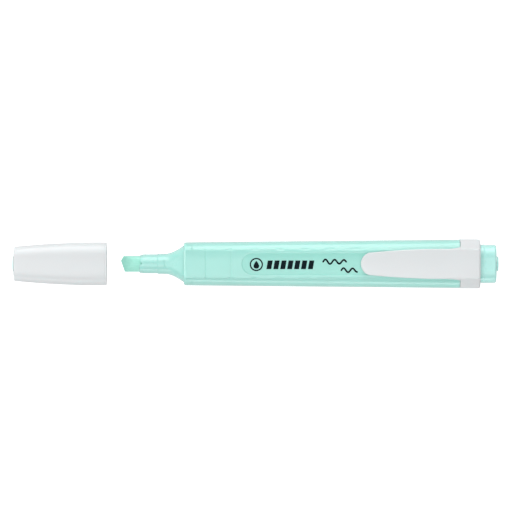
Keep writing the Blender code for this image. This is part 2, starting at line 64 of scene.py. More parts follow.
def station(x):
    """The station, in mm, of a place along the frame's X."""
    return (x - SHOULDER_X) / MM


def place(points):
    """(s, y, z) in mm as points of the frame, in metres."""
    moved = np.asarray(points, float) * MM
    return moved + np.array([SHOULDER_X, 0.0, AXIS_Z])


def smooth(value):
    """0 below 0, 1 above 1, and an S between."""
    share = np.clip(value, 0.0, 1.0)
    return share * share * (3 - 2 * share)


def hump(value):
    """1 at 0, falling smoothly to 0 at -1 and 1."""
    share = np.clip(1 - np.asarray(value, float) ** 2, 0.0, 1.0)
    return share * share


# ---------------------------------------------------------------- sections and skins


QUARTER_SAMPLES = 900
CROWDING = 1.6  # crowds a quarter's samples towards its widest point
SHARP = 32.0  # degrees: faces that meet at more than this have a hard edge between them


def quarter(half_width, flat, crown=0.0, power=2.0, near=(), steps=24):
    """A quarter of a section, from the crease beside the flat down to the widest point.

    near lists distances from the crease, in mm, that get a point of their own.
    Returns the points (y, z), their outward normals and their distances from the crease.
    """
    height = flat + crown
    crease = math.asin(min(flat / height, 0.999) ** (power / 2))
    turn = crease * np.linspace(1.0, 0.0, QUARTER_SAMPLES) ** CROWDING
    y = half_width * np.cos(turn) ** (2 / power)
    z = height * np.sin(turn) ** (2 / power)
    along = np.concatenate([[0.0], np.cumsum(np.hypot(np.diff(y), np.diff(z)))])
    first = near[-1] if near else 0.0
    rest = np.linspace(first, along[-1], steps + 1)
    want = np.concatenate([np.array(near, float), rest[1:]]) if near else rest
    climbing = along + 1e-9 * np.arange(QUARTER_SAMPLES)  # no two samples at one distance
    slope_y, slope_z = np.gradient(y, climbing), np.gradient(z, climbing)
    points = np.stack([np.interp(want, along, y), np.interp(want, along, z)], axis=1)
    normals = np.stack([-np.interp(want, along, slope_z), np.interp(want, along, slope_y)], axis=1)
    normals /= np.linalg.norm(normals, axis=1, keepdims=True)
    return points, normals, want


def section(half_width, flat, crown=0.0, power=2.0, near=(), steps=24, across=None, edge=None, top=None):
    """A whole section, anticlockwise from +Y through +Z, as (y, z).

    across holds the places over the flat as shares of its half-width, from near 1 to near -1. edge and top
    give how far the surface is cut in: edge from the distance to the crease, top from y.
    """
    side, normals, distances = quarter(half_width, flat, crown, power, near, steps)
    if edge is not None:
        side = side - normals * edge(distances)[:, None]
    crease_y = quarter(half_width, flat, crown, power, (), 1)[0][0, 0]
    shares = np.linspace(1, -1, 18)[1:-1] if across is None else np.asarray(across)
    y = shares * crease_y
    height = flat + crown
    z = np.minimum(flat, height * np.clip(1 - (np.abs(y) / half_width) ** power, 0, 1) ** (1 / power))
    over = np.stack([y, z - (top(y) if top is not None else 0.0)], axis=1)
    under = np.stack([-y, -z], axis=1)
    flip_y, flip_z = np.array([-1.0, 1.0]), np.array([1.0, -1.0])
    front_left, back_left, back_right = side * flip_y, side * flip_y * flip_z, side * flip_z
    return np.concatenate([side[::-1], over, front_left, back_left[::-1][1:], under, back_right[:-1]])


def circle(radius, steps=30):
    return section(radius, radius, 0.0, 2.0, (), steps)


def at(s, outline, shift=None):
    """An outline at a station. shift moves each point along the pen."""
    along = np.full(len(outline), float(s))
    if shift is not None:
        along = along + shift
    return np.column_stack([along, outline])


def finish_mesh(name, points, faces):
    """An object of one mesh in the scene, from points (s, y, z) in mm."""
    data = bpy.data.meshes.new(name)
    data.from_pydata(place(points).tolist(), [], faces)
    data.update()
    data.shade_smooth()
    data.set_sharp_from_angle(angle=math.radians(SHARP))
    made = bpy.data.objects.new(name, data)
    bpy.context.scene.collection.objects.link(made)
    return made


def skin(name, rings, through=False):
    """A closed body over rings of equal count. through joins the last ring to the first, as for a tube."""
    stack = np.array(rings)
    count, around = stack.shape[:2]
    faces = []
    for i in range(count if through else count - 1):
        for j in range(around):
            low, high = i * around, ((i + 1) % count) * around
            beside = (j + 1) % around
            faces.append((low + j, low + beside, high + beside, high + j))
    if not through:
        faces.append(tuple(range(around))[::-1])
        faces.append(tuple(range((count - 1) * around, count * around)))
    return finish_mesh(name, stack.reshape(-1, 3), faces)


def rounded(start, end, radius, outline_at, steps=4):
    """Rings round an outer edge: from start, where the wall is whole, to end, where it is inset by radius."""
    rings = []
    for i in range(steps + 1):
        angle = math.pi / 2 * i / steps
        along = start + (end - start) * math.sin(angle)
        rings.append(at(along, outline_at(radius * (1 - math.cos(angle)))))
    return rings


# ---------------------------------------------------------------- barrel

BODY_POWER = 3.0
BODY_CROWN = 0.6
BODY_FLAT = station(SHOULDER_X + AXIS_Z)  # the axis is this far above the back
BARREL_TAPER = 0.0097
BARREL_HALF = 7.13
BAND_FRONT = station(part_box("clip_band")[0].x)
BAND_REAR = station(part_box("clip_band")[1].x)
BARREL_REAR = station(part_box("barrel")[1].x)
MOUTH_LIP = ((0.0, 0.42), (0.02, 0.36), (0.07, 0.31))  # the mouth's edge: stations, and how far it is inset
MOUTH_CHAMFER = (0.42, 0.3)  # length and depth
SPIGOT_STEP = BAND_FRONT - 0.15  # the barrel narrows here to go into the band
SPIGOT_INSET = 0.8
PLUG_BORE = (6.4, 3.9)  # half-width and half-thickness
SEAT = (6.23, 4.65)  # the bore that the front section sits in
SEAT_DEPTH = 7.3
BARREL_WALL = 1.1
PANEL_CROWN = 0.00058  # the front panel falls away from its middle by this times y to the fourth power
STEP_DEPTH = 0.2  # the panel stands this far above the sides
STEP_WIDTH = 0.32
STEP_FADE = 5.5
STEP_START = 2.3
STEP_RUN_IN = 0.8
CROWN_RUN_IN = 3.0
LABEL_START = 19.1
LABEL_END = 88.5
LABEL_HALF = 3.6
LABEL_DEPTH = 0.16
LABEL_WALL = 0.5
SCORES = ((7.1, 0.19, 0.13), (15.5, 0.32, 0.08))  # station, half-width and depth
DIMPLE_START = 7.1
DIMPLE_PITCH = 8.2
DIMPLE_COUNT = 7
DIMPLE_LENGTH = 0.8
DIMPLE_LENGTH_STEP = 0.66
DIMPLE_DEPTH = 0.1
DIMPLE_MIDDLE = 0.2  # from the crease
DIMPLE_HALF = 0.8
DIMPLE_FADE = 0.25  # added to each end of a dimple

NEAR_CREASE = (0.0, 0.08, 0.16, 0.24, 0.32, 0.4, 0.48, 0.6, 0.8, 1.0, 1.25, 1.5, 1.8, 2.2, 2.7)
PANEL_COLUMNS = (4.32, 4.14, 3.95, 3.78, 3.7, 3.62, 3.54, 3.46, 3.38, 3.25)
ACROSS_MM = np.array(PANEL_COLUMNS + tuple(np.linspace(3.12, 0.0, 26)))
ACROSS_MM = np.concatenate([ACROSS_MM, -ACROSS_MM[:-1][::-1]])
PANEL_LEAST = 4.45  # the outermost columns need a panel that is at least this wide to each side
INNER_PANEL = 4.5
ROW_PITCH = 1.1  # between the barrel's plain rings
ROW_LEAST = 0.045  # closer rings are left out


def barrel_half(s):
    return BARREL_HALF + BARREL_TAPER * s


def dimple_spans():
    """The middle and half the length of each grip dimple. They grow longer towards the tail."""
    for i in range(DIMPLE_COUNT):
        yield DIMPLE_START + i * DIMPLE_PITCH, (DIMPLE_LENGTH + i * DIMPLE_LENGTH_STEP) / 2


def dimple(s, distance):
    """How deep the grip dimples are at station s, from the distance outward from the crease."""
    depth = 0.0
    for middle, half in dimple_spans():
        depth += DIMPLE_DEPTH * smooth(2.2 * hump((s - middle) / (half + DIMPLE_FADE)))
    return depth * hump((distance - DIMPLE_MIDDLE) / DIMPLE_HALF)


def edge_drop(s, crease):
    """How far the surface beside the panel is cut in at station s, from the distance to its crease."""
    begun = smooth((s - STEP_START) / STEP_RUN_IN)

    def drop(distance):
        fade = 1 - smooth((distance - STEP_WIDTH) / STEP_FADE)
        step = STEP_DEPTH * smooth(distance / STEP_WIDTH) * fade
        edge = PANEL_CROWN * crease**4 * smooth(s / CROWN_RUN_IN) * (1 - smooth(distance / STEP_FADE))
        return edge + begun * step + dimple(s, distance)

    return drop


def label_share(s, y):
    """1 inside the shallow print recess, 0 outside, and its wall between."""
    beyond = np.maximum(np.maximum(LABEL_START + LABEL_HALF - s, s - LABEL_END + LABEL_HALF), 0.0)
    inside = LABEL_HALF - np.hypot(beyond, y)
    return smooth(inside / LABEL_WALL + 0.5)


def panel_drop(s, crease):
    """How far the front panel is cut in at station s, from y."""

    def drop(y):
        crown = PANEL_CROWN * y**4 * smooth(s / CROWN_RUN_IN)
        fall = crown + label_share(s, y) * LABEL_DEPTH + dimple(s, np.abs(y) - crease)
        for middle, half, depth in SCORES:
            fall = fall + depth * hump((s - middle) / half)
        return fall

    return drop


def outer_rows():
    """Stations of the barrel's rings, closer together where the surface has detail."""
    rows = list(np.arange(0.7, BAND_FRONT - 0.2, ROW_PITCH))
    rows += list(np.arange(STEP_START - 0.2, STEP_START + 1.1, 0.2))
    rows += list(np.arange(LABEL_START - 0.4, LABEL_START + LABEL_HALF + 0.3, 0.1))
    for middle, half, _ in SCORES:
        rows += list(middle + half * np.linspace(-1.1, 1.1, 11))
    for middle, half in dimple_spans():
        rows += list(middle + (half + 0.3) * np.linspace(-1.0, 1.0, 17))
    kept = []
    for row in sorted(rows):
        if not kept or row - kept[-1] > ROW_LEAST:
            kept.append(row)
    return kept


def barrel_section(s, inset=0.0, detailed=True):
    """The barrel's outside at station s, smaller all round by inset. detailed adds what is cut into it."""
    half, flat = barrel_half(s) - inset, BODY_FLAT - inset
    crease_y = half * (1 - (flat / (flat + BODY_CROWN)) ** BODY_POWER) ** (1 / BODY_POWER)
    shares = ACROSS_MM / max(crease_y, PANEL_LEAST)
    hooks = {}
    if detailed:
        hooks = {"edge": edge_drop(s, crease_y), "top": panel_drop(s, crease_y)}
    return section(half, flat, BODY_CROWN, BODY_POWER, NEAR_CREASE, 9, shares, **hooks)


def inner_section(half, flat):
    """A section with as many points as the barrel's outside, for its bores."""
    return section(half, flat, BODY_CROWN, BODY_POWER, NEAR_CREASE, 9, ACROSS_MM / INNER_PANEL)


def make_barrel():
    """The barrel as one tube: its outside from the mouth to the spigot, then its bores back to the mouth."""
    length, depth = MOUTH_CHAMFER
    rings = [at(s, barrel_section(0.0, inset, False)) for s, inset in MOUTH_LIP]
    start = MOUTH_LIP[-1][0]
    for share in (0.1, 0.5, 0.9):
        rings.append(at(start + length * share, barrel_section(0.0, depth * (1 - share), False)))
    rings.append(at(start + length * 1.08, barrel_section(0.0, 0.0, False)))
    rings += [at(s, barrel_section(s)) for s in outer_rows()]
    rings.append(at(SPIGOT_STEP, barrel_section(SPIGOT_STEP)))
    rings += [at(s, barrel_section(s, SPIGOT_INSET, False)) for s in (SPIGOT_STEP, BARREL_REAR)]
    rings += [at(s, inner_section(*PLUG_BORE)) for s in (BARREL_REAR, SPIGOT_STEP - 1.0)]
    for s in (SPIGOT_STEP - 2.0, SEAT_DEPTH):
        rings.append(at(s, inner_section(barrel_half(s) - BARREL_WALL, BODY_FLAT - BARREL_WALL)))
    rings += [at(s, inner_section(*SEAT)) for s in (SEAT_DEPTH, 0.0)]
    return skin("barrel_tube", rings, through=True)


# ---------------------------------------------------------------- nib

NIB_TIP = station(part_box("nib")[0].x)
NIB_REAR = station(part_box("nib")[1].x)
NIB_POINT_Y = 1.05  # the two writing edges meet here
NIB_HALF = 2.62
NIB_FLAT = 2.0
NIB_TALL = NIB_FLAT + 0.17  # half the rod's thickness
NIB_CROWN = 0.03
NIB_POWER = 2.35
NIB_CLEARANCE = 0.1
NIB_REAR_INSET = 0.6
NIB_LAND = 0.5  # half the thickness that the bevels leave at the tip
NIB_BEVEL = 3.6
NIB_WEAR = 0.14  # the rounding of its edges
NIB_SHARP = 15.0  # degrees: the facets meet at more than this, the rod's own faces at less
NIB_EDGES = (math.radians(20.0), math.radians(-30.0))  # the long and the short writing edge, from square


def nib_section(inset, steps):
    return section(NIB_HALF - inset, NIB_TALL - inset, NIB_CROWN, NIB_POWER, (), steps)


def make_nib():
    """The nib: a flat rod, cut by the two writing edges and the two bevels."""
    rings = [at(s, nib_section(0.0, 18)) for s in (NIB_TIP - 1.0, NIB_REAR - 1.5)]
    rings.append(at(NIB_REAR, nib_section(NIB_REAR_INSET, 18)))
    nib = skin("nib_fibre", rings)
    tip = Vector(place([(NIB_TIP, NIB_POINT_Y, 0.0)])[0])
    cuts = [(tip, Vector((-math.cos(angle), -math.sin(angle), 0.0))) for angle in NIB_EDGES]
    bevel = math.atan2(NIB_FLAT - NIB_LAND, NIB_BEVEL)
    for side in (1, -1):
        start = Vector(place([(NIB_TIP, 0.0, side * NIB_LAND)])[0])
        cuts.append((start, Vector((-math.sin(bevel), 0.0, side * math.cos(bevel)))))
    mesh = bmesh.new()
    mesh.from_mesh(nib.data)
    for where, outward in cuts:
        whole = mesh.verts[:] + mesh.edges[:] + mesh.faces[:]
        plane = {"plane_co": where, "plane_no": outward, "clear_outer": True}
        cut = bmesh.ops.bisect_plane(mesh, geom=whole, dist=1e-8, **plane)
        rim = [item for item in cut["geom_cut"] if isinstance(item, bmesh.types.BMEdge)]
        bmesh.ops.contextual_create(mesh, geom=rim)
    bmesh.ops.recalc_face_normals(mesh, faces=mesh.faces)
    mesh.to_mesh(nib.data)
    mesh.free()
    nib.data.set_sharp_from_angle(angle=math.radians(NIB_SHARP))
    soften = nib.modifiers.new("worn_edges", "BEVEL")
    soften.width = NIB_WEAR * MM
    soften.segments = 3
    soften.limit_method = "ANGLE"
    soften.angle_limit = math.radians(NIB_SHARP)
    soften.harden_normals = True
    return nib


# ---------------------------------------------------------------- front section

COLLAR_FRONT = station(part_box("front_section")[0].x)
SECTION_REAR = station(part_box("front_section")[1].x)
LIP_STEP = 0.25  # the lip stands this much further forward on the -Y side
LIP_RINGS = ((2.78, 0.0), (2.9, 0.04), (2.96, 0.14))  # radius, and distance behind the lip's edge
NECK_RADIUS = 3.34
COLLAR_RADIUS = 3.15
COLLAR_REAR = -8.8
NECK_FRONT = -8.5
FLARE_START = -6.0
FLARE_POWER = 1.6  # the flare opens slowly at the neck and fast at the shoulder
SHOULDER_HALF = 6.13
SHOULDER_FLAT = 4.55
NOTCH_Y = 0.15
NOTCH_HALF = 0.38
NOTCH_DEPTH = 0.55
NECK_MARK = (-6.35, 0.22, 0.12)  # station, half-width and depth of a short groove over the neck
NECK_MARK_REACH = 1.35  # to each side
SOCKET = (5.4, 3.9)  # half-width and half-thickness of the hollow behind the nib's bore
SOCKET_POWER = 2.4
SOCKET_FLOOR = 1.2


def flare_section(s):
    """The flare's section, which grows from the neck's circle to the shoulder's flattened shape."""
    share = max((s - FLARE_START) / -FLARE_START, 0.0) ** FLARE_POWER
    half = NECK_RADIUS + (SHOULDER_HALF - NECK_RADIUS) * share
    flat = NECK_RADIUS + (SHOULDER_FLAT - NECK_RADIUS) * share
    return section(half, flat, BODY_CROWN * share, 2 + (BODY_POWER - 2) * share, (), 30)


def make_front_section():
    """The collar with its lip, the neck, the flare and the bore for the nib, as one tube."""
    def lip(radius, s, strength=1.0):
        """A ring of the collar's lip: further forward on the -Y side, and notched over the top."""
        outline = circle(radius)
        forward = -LIP_STEP * smooth(-outline[:, 0] / 0.5 + 0.5) * strength
        notch = NOTCH_DEPTH * smooth(2.5 * hump((outline[:, 0] - NOTCH_Y) / NOTCH_HALF)) * (outline[:, 1] > 0)
        return at(s, outline, forward + notch * strength)

    rings = [lip(radius, COLLAR_FRONT + LIP_STEP + back) for radius, back in LIP_RINGS]
    rings.append(lip(3.0, COLLAR_FRONT + 0.75, 0.4))
    turned = [(COLLAR_FRONT + 1.15, COLLAR_RADIUS - 0.02), (COLLAR_FRONT + 1.35, COLLAR_RADIUS)]
    turned += [(-11.0, COLLAR_RADIUS), (COLLAR_REAR, COLLAR_RADIUS)]
    turned.append((COLLAR_REAR + 0.04, COLLAR_RADIUS + 0.01))
    turned += [(NECK_FRONT, NECK_RADIUS - 0.01), (NECK_FRONT + 0.06, NECK_RADIUS), (-7.4, NECK_RADIUS)]
    rings += [at(s, circle(radius)) for s, radius in turned]
    middle, half, depth = NECK_MARK
    for s in middle + half * np.linspace(-1.2, 1.2, 9):
        outline = circle(NECK_RADIUS)
        cut = depth * hump((s - middle) / half) * smooth((NECK_MARK_REACH - np.abs(outline[:, 0])) / 0.3)
        outline[:, 1] -= np.where(outline[:, 1] > 0, cut, 0.0)
        rings.append(at(s, outline))
    rings += [at(s, flare_section(s)) for s in np.linspace(FLARE_START, 0.0, 28)[1:]]
    rings.append(at(SECTION_REAR, flare_section(0.0)))
    socket = section(*SOCKET, 0.0, SOCKET_POWER, (), 30)
    bore = nib_section(-NIB_CLEARANCE, 30)
    rings += [at(SECTION_REAR, socket), at(SOCKET_FLOOR, socket), at(SOCKET_FLOOR, bore)]
    rings.append(np.column_stack([rings[0][:, 0] + 0.05, bore]))
    return skin("collar_and_flare", rings, through=True)


# ---------------------------------------------------------------- end plug

PLUG_FRONT = station(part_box("end_plug")[0].x)
PLUG_REAR = station(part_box("end_plug")[1].x)
PLUG_CROWN = 0.3
PLUG_SKIRT = (6.25, 3.75)  # half-width and half-thickness of the part inside the barrel
PLUG_HOLLOW = (5.35, 2.85)
TAIL_FRONT = 96.6
TAIL = (6.34, 4.86)
TAIL_CROWN = 0.06
TAIL_REAR = PLUG_REAR - 0.6
TAIL_ROUND = 0.75
TAIL_SWELL = 0.12  # the end face swells this far towards the disc
DISC_RADIUS = 2.45
BEAD = (98.95, 0.42, 0.09)  # station, half-width and height


def make_end_plug():
    """The tail with its bead and end disc, and the hollow skirt that goes into the barrel."""
    def tail(inset=0.0):
        return section(TAIL[0] - inset, TAIL[1] - inset, TAIL_CROWN, BODY_POWER, (), 30)

    skirt = section(*PLUG_SKIRT, PLUG_CROWN, BODY_POWER, (), 30)
    hollow = section(*PLUG_HOLLOW, PLUG_CROWN, BODY_POWER, (), 30)
    rings = [at(PLUG_REAR - 1.9, hollow), at(PLUG_FRONT, hollow), at(PLUG_FRONT, skirt)]
    rings += [at(TAIL_FRONT, skirt), at(TAIL_FRONT, tail(0.1)), at(TAIL_FRONT + 0.15, tail())]
    middle, half, height = BEAD
    for share in np.linspace(-1.1, 1.1, 9):
        rings.append(at(middle + share * half, tail(-height * float(hump(share)))))
    rings += [at(s, tail()) for s in (100.0, 101.5)]
    face = TAIL_REAR - TAIL_SWELL
    rings += rounded(TAIL_REAR - TAIL_ROUND, face, TAIL_ROUND, tail, 7)
    disc = circle(DISC_RADIUS)
    rim = rings[-1][:, 1:]
    for share in (0.3, 0.6, 0.85, 1.0):
        mixed = rim * (1 - share) + disc * 1.06 * share
        rings.append(at(face + TAIL_SWELL * math.sin(share * math.pi / 2), mixed))
    rings.append(at(TAIL_REAR + 0.04, disc))
    rings += rounded(PLUG_REAR - 0.18, PLUG_REAR, 0.18, lambda inset: disc * (1 - inset / DISC_RADIUS), 4)
    return skin("tail_plug", rings)


# ---------------------------------------------------------------- clip

CLIP_TOP = (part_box("clip_band")[1].z - AXIS_Z) / MM
ARM_TIP = station(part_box("clip_arm")[0].x)
ARM_TIP_TOP = 7.0
ARM_TIP_HALF = 3.75
ARM_NOSE = 3.5  # the length of the rounded nose
ARM_BOW = 24.0  # behind the nose, the sides bow out over this length
ARM_ROOT_HALF = 4.95
ARM_FLARE = 0.55
ARM_FLARE_START = 86.6
ARM_FLARE_POWER = 1.6
ARM_ROUND = 0.35  # the rounding of its upper edges, and next that of its lower ones
ARM_LOW_ROUND = 0.25
ARM_CROWN = 0.22  # its top is this much higher in the middle than at the edges
ARM_WALL = 1.2
ARM_WALL_GROWTH = 0.15  # from the tip to the root
ARM_DENSE = 80.0  # the flanks have closer points behind this station
BUMP_BACK = 4.3  # the bump under the arm: how far it is behind the tip, and its size
BUMP_LENGTH = 2.2
BUMP_HALF = 2.0
BUMP_HEIGHT = 0.75
BAND_HALF = 8.13
PLATFORM_ROUND = 0.5  # the rounding between its top and its sides
SLOPE = math.radians(57.0)  # of the platform's sides, below level
SIDE_ROUND = 1.6  # where they turn into the band's sides
BAND_REAR_ROUND = 0.75
BAND_LIP = 1.3  # the length of the band's rear part, which is bored for the tail
TAIL_HOLE = (6.44, 4.82)
SPIGOT_HOLE_INSET = 0.7  # the rest fits over the barrel's spigot, this far inside the barrel's surface
TOP_SHARES = np.linspace(-1.0, 1.0, 19)  # places across the arm's and the platform's top


def arm_half(s):
    """Half the arm's width where its sides run on from the rounded nose."""
    bow = np.clip((s - ARM_TIP - ARM_NOSE) / ARM_BOW, 0.0, 1.0)
    return ARM_TIP_HALF + (ARM_ROOT_HALF - ARM_TIP_HALF) * (1 - (1 - bow) ** 2)


def arm_flare(s):
    """How far the arm's sides lean out at their foot, where they run into the platform's."""
    share = np.clip((s - ARM_FLARE_START) / (BAND_FRONT - ARM_FLARE_START), 0.0, 1.0)
    return ARM_FLARE * share**ARM_FLARE_POWER


def arm_top(s):
    return ARM_TIP_TOP + (CLIP_TOP - ARM_TIP_TOP) * (s - ARM_TIP) / (BAND_FRONT - ARM_TIP)


def arm_wall(s):
    return ARM_WALL + ARM_WALL_GROWTH * (s - ARM_TIP) / (BAND_FRONT - ARM_TIP)


def arm_plan():
    """The arm's outline in plan, from its -Y root round the nose to its +Y root, and its outward normals."""
    near_root = np.linspace(BAND_FRONT, ARM_DENSE, 26)
    flank = np.concatenate([near_root, np.linspace(ARM_DENSE - 0.8, ARM_TIP + ARM_NOSE + 0.6, 22)])
    angles = np.radians(np.linspace(-90, 90, 41))
    nose = np.column_stack([ARM_TIP + ARM_NOSE * (1 - np.cos(angles)), ARM_TIP_HALF * np.sin(angles)])
    left = np.column_stack([flank, -arm_half(flank)])
    plan = np.concatenate([left, nose, left[::-1] * [1, -1]])
    ahead = np.gradient(plan, axis=0)
    normals = np.column_stack([-ahead[:, 1], ahead[:, 0]])
    normals /= np.linalg.norm(normals, axis=1, keepdims=True)
    normals[0], normals[-1] = (0, -1), (0, 1)
    return plan, normals


def band_side(inset=0.0):
    """The band's outside from the platform's edge at +Y down to the middle of the back, as (y, z)."""
    half = BAND_HALF - inset
    edge_y = ARM_ROOT_HALF - ARM_ROUND
    top = CLIP_TOP - ARM_CROWN - inset
    points = []
    for angle in np.linspace(0, SLOPE, 6):
        out = (PLATFORM_ROUND - inset) * math.sin(angle)
        points.append((edge_y + out, top - PLATFORM_ROUND * (1 - math.cos(angle))))
    foot = np.array(points[-1])
    down = np.array([math.cos(SLOPE), -math.sin(SLOPE)])
    tangent = SIDE_ROUND * math.tan((math.pi / 2 - SLOPE) / 2)
    reach = (half - foot[0]) / down[0] - tangent
    bend = foot + down * reach
    centre = bend + SIDE_ROUND * np.array([-math.sin(SLOPE), -math.cos(SLOPE)])
    for share in (0.33, 0.66):
        points.append(tuple(foot + down * reach * share))
    for angle in np.linspace(SLOPE, math.pi / 2, 7):
        points.append((centre[0] + SIDE_ROUND * math.sin(angle), centre[1] + SIDE_ROUND * math.cos(angle)))
    side, _, _ = quarter(half, BODY_FLAT - inset, BODY_CROWN, BODY_POWER, (), 16)
    low = points[-1][1]
    points += [(half, low * share) for share in (0.75, 0.5, 0.25)]
    points += [(y, -z) for y, z in side[::-1]]
    points += [(side[0, 0] * share, -(BODY_FLAT - inset)) for share in (0.8, 0.6, 0.4, 0.2)]
    return np.array(points)


def band_outline(inset=0.0):
    """The band's whole outside, from its top's -Y edge round by +Y, as (y, z)."""
    side = band_side(inset)
    top = np.column_stack([side[0, 0] * TOP_SHARES, side[0, 1] + ARM_CROWN * (1 - TOP_SHARES**2)])
    left, right = side[1:] * [-1, 1], side[1:]
    return np.concatenate([top, right, [(0.0, right[-1, 1])], left[::-1]])


def opening(outline):
    """A bore's outline, resampled so that its points face the band's."""
    outside = band_outline()
    angles = np.arctan2(outside[:, 1], outside[:, 0])
    own = np.arctan2(outline[:, 1], outline[:, 0])
    order = np.argsort(own)
    lengths = np.hypot(outline[:, 0], outline[:, 1])
    radii = np.interp(angles, own[order], lengths[order], period=2 * math.pi)
    return np.column_stack([radii * np.cos(angles), radii * np.sin(angles)])


def arm_rim():
    """Rows round the arm's rim, each along arm_plan(), from the top's inner edge down to the underside's."""
    plan, normals = arm_plan()
    top, wall = arm_top(plan[:, 0]), arm_wall(plan[:, 0])
    inner_top = top - ARM_CROWN
    flare = arm_flare(plan[:, 0])[:, None] * np.sign(plan[:, 1:]) * [[0.0, 1.0]]
    inner_plan = plan - normals * ARM_ROUND
    inner_plan[[0, -1], 0] = BAND_FRONT
    rim = []
    for angle in np.linspace(0, math.pi / 2, 6):
        level = inner_top - ARM_ROUND * (1 - math.cos(angle))
        rim.append(np.column_stack([inner_plan + normals * ARM_ROUND * math.sin(angle), level]))
    for angle in np.linspace(math.pi / 2, 0, 5):
        outward = ARM_ROUND - ARM_LOW_ROUND * (1 - math.sin(angle))
        level = top - wall + ARM_LOW_ROUND * (1 - math.cos(angle))
        rim.append(np.column_stack([inner_plan + normals * outward + flare, level]))
    return rim


def over_level(s, _, share):
    """The height of the arm's top, from the station and the share across."""
    return arm_top(s) - ARM_CROWN * share**2


def under_level(s, y, _):
    """The height of its underside, with the bump that grips, from the station and y."""
    bump = float(hump(math.hypot((s - ARM_TIP - BUMP_BACK) / BUMP_LENGTH, y / BUMP_HALF)))
    return arm_top(s) - arm_wall(s) - BUMP_HEIGHT * bump


def add_points(points, new):
    """Adds new to the list of points, and returns their places in it."""
    points.extend(np.asarray(new, float).tolist())
    return list(range(len(points) - len(new), len(points)))


def fill_between(points, faces, row, level, flip):
    """Fills between the two flanks of a rim row with rungs, from the root to the nose.

    level gives a point's height from its station, y and share across. Returns the rung at the root.
    """
    rungs = []
    edge = np.array([points[i] for i in row])
    for i in range(len(row) // 2 + 1):
        left, right = row[i], row[-1 - i]
        if left == right:
            rungs.append([left])
            continue
        inner = []
        for share in TOP_SHARES[1:-1]:
            middle = (edge[i] + edge[-1 - i]) / 2 + (edge[-1 - i] - edge[i]) / 2 * share
            middle[2] = level(middle[0], middle[1], share)
            inner.append(middle)
        rungs.append([left] + add_points(points, inner) + [right])
    for near, far in zip(rungs, rungs[1:]):
        for j in range(len(near) - 1):
            beyond = (far[j + 1], far[j]) if len(far) > 1 else (far[0],)
            face = (near[j], near[j + 1], *beyond)
            faces.append(face[::-1] if flip else face)
    return rungs[0]


def make_clip():
    """The arm and its band in one closed skin: the arm's top, rim and underside run on into the band's."""
    points, faces = [], []
    rim = [add_points(points, row) for row in arm_rim()]
    for high, low in zip(rim, rim[1:]):
        for i in range(len(high) - 1):
            faces.append((high[i], high[i + 1], low[i + 1], low[i]))
    root_top = fill_between(points, faces, rim[0], over_level, False)
    root_low = fill_between(points, faces, rim[-1], under_level, True)

    # The band: rings from its front edge over the outside to the bores. The first shares its top with the arm
    count, tops = len(band_outline()), len(TOP_SHARES)
    tail_hole = opening(section(*TAIL_HOLE, PLUG_CROWN, BODY_POWER, (), 60))
    half, flat = barrel_half(BARREL_REAR) - SPIGOT_HOLE_INSET, BODY_FLAT - SPIGOT_HOLE_INSET
    spigot_hole = opening(section(half, flat, BODY_CROWN, BODY_POWER, (), 60))
    lip = BAND_REAR - BAND_LIP
    rings = rounded(BAND_REAR - BAND_REAR_ROUND, BAND_REAR, BAND_REAR_ROUND, band_outline, 5)
    rings += [at(s, tail_hole) for s in (BAND_REAR, lip)] + [at(s, spigot_hole) for s in (lip, BAND_FRONT)]
    front = root_top + add_points(points, at(BAND_FRONT, band_outline())[tops:])
    rows = [front] + [add_points(points, ring) for ring in rings]
    for near, far in zip(rows, rows[1:]):
        for j in range(count):
            k = (j + 1) % count
            faces.append((near[k], near[j], far[j], far[k]))

    # The band's front face, opened where the arm runs out of it
    bore = rows[-1]
    for j in range(tops, count - 1):
        faces.append((bore[j + 1], bore[j], front[j], front[j + 1]))
    for j in range(tops - 1):
        faces.append((bore[j + 1], bore[j], root_low[j], root_low[j + 1]))
    right_side, left_side = [row[-1] for row in rim], [row[0] for row in rim]
    faces.append((bore[tops], bore[tops - 1], *right_side[::-1], front[tops]))
    faces.append((bore[0], bore[count - 1], front[count - 1], *left_side))

    made = finish_mesh("clip", points, faces)
    mesh = bmesh.new()
    mesh.from_mesh(made.data)
    bmesh.ops.recalc_face_normals(mesh, faces=mesh.faces)
    mesh.to_mesh(made.data)
    mesh.free()
    made.data.set_sharp_from_angle(angle=math.radians(SHARP))
    return made


# ---------------------------------------------------------------- cap

CAP_MOUTH = station(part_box("cap_shell")[1].x)
CAP_FRONT = station(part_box("cap_shell")[0].x)
INSERT_FRONT = station(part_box("cap_insert")[0].x)
LAND_HEIGHT = 0.2  # a low oval land goes round the disc in the cap's end
LAND_HALF = 4.0
LAND_FLAT = 3.1
CAP_LENGTH = CAP_MOUTH - CAP_FRONT - LAND_HEIGHT
CAP_HALF = 7.09
CAP_POWER = 3.0
CAP_TAPER_LENGTH = 28.0  # from its end the cap widens over this length, fast at first
CAP_NARROWING = 1.45
CAP_THINNING = 0.95
CAP_END_ROUND = 0.32
CAP_MOUTH_ROUND = 0.1
CAP_END_WALL = 1.3
CAP_END_HOLE = 2.55
CAP_WALLS = ((0.25, 0.68), (10.0, 0.68), (11.0, 0.8), (20.0, 0.8))  # distance from the mouth, and wall
LIP_LINE = 0.52  # a fine line goes round the cap this far from its mouth
LIP_GROOVE = 0.07
INSERT_BORE = 3.47
INSERT_RADIUS = 4.0
INSERT_MOUTH = 6.5  # this and the next two are distances from the cap's mouth
INSERT_FLOOR = 23.0
INSERT_SHOULDER = 24.2


